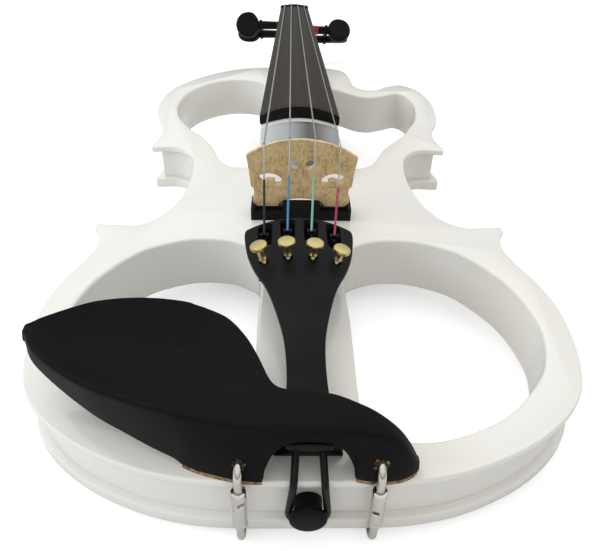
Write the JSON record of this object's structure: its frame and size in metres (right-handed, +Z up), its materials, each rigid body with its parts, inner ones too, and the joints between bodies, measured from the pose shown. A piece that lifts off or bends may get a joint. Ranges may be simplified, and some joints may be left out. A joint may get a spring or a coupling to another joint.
{
  "type": "electric violin",
  "caption": "Four-string solid-body electric violin with an open violin outline, bridge pickup, fine tuners, turning pegs and a clamped chinrest.",
  "frame": {"origin": "On the floor under the middle of the instrument, which lies on its chinrest clamps and its scroll", "axes": "+X to the treble side (the E string), +Y from the end button to the scroll, +Z up, out of the playing side"},
  "size_m": [0.2, 0.553, 0.0751],
  "materials": {
    "paint": "gloss white lacquer",
    "ebony": "satin black stain",
    "fingerboard": "oiled dark wood",
    "maple": "bare",
    "plastic": "satin",
    "gut": "smooth",
    "gold": "polished",
    "chrome": "polished",
    "steel": "wound wire",
    "cork": "raw cork",
    "silk_black": "wound thread",
    "silk_blue": "wound thread",
    "silk_green": "wound thread",
    "silk_red": "wound thread",
    "circuit": "solder mask"
  },
  "bodies": {
    "instrument": {"body_frame": "paint", "neck": "paint", "fingerboard": "fingerboard", "nut": "ebony", "bridge": "maple", "pickup_tray": "plastic", "piezo_strip": "steel", "tailpiece": "plastic", "saddle": "ebony", "tail_gut": "gut", "end_button": "ebony", "chinrest": "ebony", "string_g": "steel", "silk_g": "silk_black", "string_d": "steel", "silk_d": "silk_blue", "string_a": "steel", "silk_a": "silk_green", "string_e": "steel", "silk_e": "silk_red", "chinrest_cork_bass": "cork", "clamp_hook_bass": "chrome", "chinrest_cork_treble": "cork", "clamp_hook_treble": "chrome", "control_panel": "plastic", "battery": "plastic", "preamp_board": "circuit", "output_jack": "chrome"},
    "peg_g_body": {"peg_g": "ebony", "winding_g": "steel"},
    "peg_d_body": {"peg_d": "ebony", "winding_d": "steel"},
    "peg_a_body": {"peg_a": "ebony", "winding_a": "steel"},
    "peg_e_body": {"peg_e": "ebony", "winding_e": "steel", "peg_e_silk_wrap": "silk_red"},
    "tuner_shank_g_body": {"tuner_shank_g": "gold"},
    "tuner_head_g_body": {"tuner_head_g": "gold"},
    "tuner_lever_g_body": {"tuner_lever_g": "steel"},
    "tuner_shank_d_body": {"tuner_shank_d": "gold"},
    "tuner_head_d_body": {"tuner_head_d": "gold"},
    "tuner_lever_d_body": {"tuner_lever_d": "steel"},
    "tuner_shank_a_body": {"tuner_shank_a": "gold"},
    "tuner_head_a_body": {"tuner_head_a": "gold"},
    "tuner_lever_a_body": {"tuner_lever_a": "steel"},
    "tuner_shank_e_body": {"tuner_shank_e": "gold"},
    "tuner_head_e_body": {"tuner_head_e": "gold"},
    "tuner_lever_e_body": {"tuner_lever_e": "steel"},
    "clamp_barrel_bass_body": {"clamp_barrel_bass": "chrome"},
    "clamp_foot_bass_body": {"clamp_foot_bass": "chrome", "clamp_foot_cork_bass": "cork"},
    "clamp_barrel_treble_body": {"clamp_barrel_treble": "chrome"},
    "clamp_foot_treble_body": {"clamp_foot_treble": "chrome", "clamp_foot_cork_treble": "cork"},
    "volume_knob_body": {"volume_knob": "plastic"},
    "tone_knob_body": {"tone_knob": "plastic"},
    "battery_door_body": {"battery_door": "plastic"}
  },
  "joints": [
    {"name": "peg_g_turn", "type": "hinge", "parent": "instrument", "child": "peg_g_body", "pos_m": [0, 0.21119, 0.04133], "axis": [-1, 0, 0], "continuous": true},
    {"name": "peg_d_turn", "type": "hinge", "parent": "instrument", "child": "peg_d_body", "pos_m": [0, 0.23127, 0.02877], "axis": [-1, 0, 0], "continuous": true},
    {"name": "peg_a_turn", "type": "hinge", "parent": "instrument", "child": "peg_a_body", "pos_m": [0, 0.24213, 0.02199], "axis": [1, 0, 0], "continuous": true},
    {"name": "peg_e_turn", "type": "hinge", "parent": "instrument", "child": "peg_e_body", "pos_m": [0, 0.22042, 0.03556], "axis": [1, 0, 0], "continuous": true},
    {"name": "tuner_g_feed", "type": "slide", "parent": "instrument", "child": "tuner_shank_g_body", "axis": [0.2654, 0.0502, -0.9628], "range_m": [0, 0.003]},
    {"name": "tuner_g_turn", "type": "hinge", "parent": "tuner_shank_g_body", "child": "tuner_head_g_body", "pos_m": [-0.01527, -0.18956, 0.05042], "axis": [0.2654, 0.0502, -0.9628], "range_deg": [0, 2160]},
    {"name": "tuner_g_lever", "type": "hinge", "parent": "instrument", "child": "tuner_lever_g_body", "pos_m": [-0.01549, -0.17695, 0.043], "axis": [1, 0, 0], "range_deg": [0, 13.76]},
    {"name": "tuner_d_feed", "type": "slide", "parent": "instrument", "child": "tuner_shank_d_body", "axis": [0.0906, 0.0518, -0.9945], "range_m": [0, 0.003]},
    {"name": "tuner_d_turn", "type": "hinge", "parent": "tuner_shank_d_body", "child": "tuner_head_d_body", "pos_m": [-0.00617, -0.18915, 0.0521], "axis": [0.0906, 0.0518, -0.9945], "range_deg": [0, 2160]},
    {"name": "tuner_d_lever", "type": "hinge", "parent": "instrument", "child": "tuner_lever_d_body", "pos_m": [-0.0064, -0.17628, 0.04469], "axis": [1, 0, 0], "range_deg": [0, 13.76]},
    {"name": "tuner_a_feed", "type": "slide", "parent": "instrument", "child": "tuner_shank_a_body", "axis": [-0.0906, 0.0518, -0.9945], "range_m": [0, 0.003]},
    {"name": "tuner_a_turn", "type": "hinge", "parent": "tuner_shank_a_body", "child": "tuner_head_a_body", "pos_m": [0.00325, -0.18915, 0.0521], "axis": [-0.0906, 0.0518, -0.9945], "range_deg": [0, 2160]},
    {"name": "tuner_a_lever", "type": "hinge", "parent": "instrument", "child": "tuner_lever_a_body", "pos_m": [0.00302, -0.17628, 0.04469], "axis": [1, 0, 0], "range_deg": [0, 13.76]},
    {"name": "tuner_e_feed", "type": "slide", "parent": "instrument", "child": "tuner_shank_e_body", "axis": [-0.2654, 0.0502, -0.9628], "range_m": [0, 0.003]},
    {"name": "tuner_e_turn", "type": "hinge", "parent": "tuner_shank_e_body", "child": "tuner_head_e_body", "pos_m": [0.01234, -0.18956, 0.05042], "axis": [-0.2654, 0.0502, -0.9628], "range_deg": [0, 2160]},
    {"name": "tuner_e_lever", "type": "hinge", "parent": "instrument", "child": "tuner_lever_e_body", "pos_m": [0.01211, -0.17695, 0.043], "axis": [1, 0, 0], "range_deg": [0, 13.76]},
    {"name": "clamp_bass_turn", "type": "hinge", "parent": "instrument", "child": "clamp_barrel_bass_body", "pos_m": [-0.02025, -0.27367, 0.01886], "axis": [0, 0.0521, -0.9986], "range_deg": [0, 720]},
    {"name": "clamp_bass_feed", "type": "slide", "parent": "instrument", "child": "clamp_foot_bass_body", "axis": [0, 0.0521, -0.9986], "range_m": [0, 0.003]},
    {"name": "clamp_treble_turn", "type": "hinge", "parent": "instrument", "child": "clamp_barrel_treble_body", "pos_m": [0.02025, -0.27367, 0.01886], "axis": [0, 0.0521, -0.9986], "range_deg": [0, 720]},
    {"name": "clamp_treble_feed", "type": "slide", "parent": "instrument", "child": "clamp_foot_treble_body", "axis": [0, 0.0521, -0.9986], "range_m": [0, 0.003]},
    {"name": "volume_knob_turn", "type": "hinge", "parent": "instrument", "child": "volume_knob_body", "pos_m": [-0.013, -0.09863, 0.01196], "axis": [0, 0.0521, -0.9986], "range_deg": [-150, 150]},
    {"name": "tone_knob_turn", "type": "hinge", "parent": "instrument", "child": "tone_knob_body", "pos_m": [0.013, -0.09863, 0.01196], "axis": [0, 0.0521, -0.9986], "range_deg": [-150, 150]},
    {"name": "battery_door_hinge", "type": "hinge", "parent": "instrument", "child": "battery_door_body", "pos_m": [0, -0.13531, 0.0108], "axis": [-1, 0, 0], "range_deg": [0, 100]}
  ],
  "couplings": [
    {"joint": "tuner_g_turn", "follows": "tuner_g_feed", "rad_per_m": 12566},
    {"joint": "tuner_g_lever", "follows": "tuner_g_feed", "rad_per_m": 80},
    {"joint": "tuner_d_turn", "follows": "tuner_d_feed", "rad_per_m": 12566},
    {"joint": "tuner_d_lever", "follows": "tuner_d_feed", "rad_per_m": 80},
    {"joint": "tuner_a_turn", "follows": "tuner_a_feed", "rad_per_m": 12566},
    {"joint": "tuner_a_lever", "follows": "tuner_a_feed", "rad_per_m": 80},
    {"joint": "tuner_e_turn", "follows": "tuner_e_feed", "rad_per_m": 12566},
    {"joint": "tuner_e_lever", "follows": "tuner_e_feed", "rad_per_m": 80},
    {"joint": "clamp_bass_turn", "follows": "clamp_bass_feed", "rad_per_m": 4188.7},
    {"joint": "clamp_treble_turn", "follows": "clamp_treble_feed", "rad_per_m": 4188.7}
  ]
}
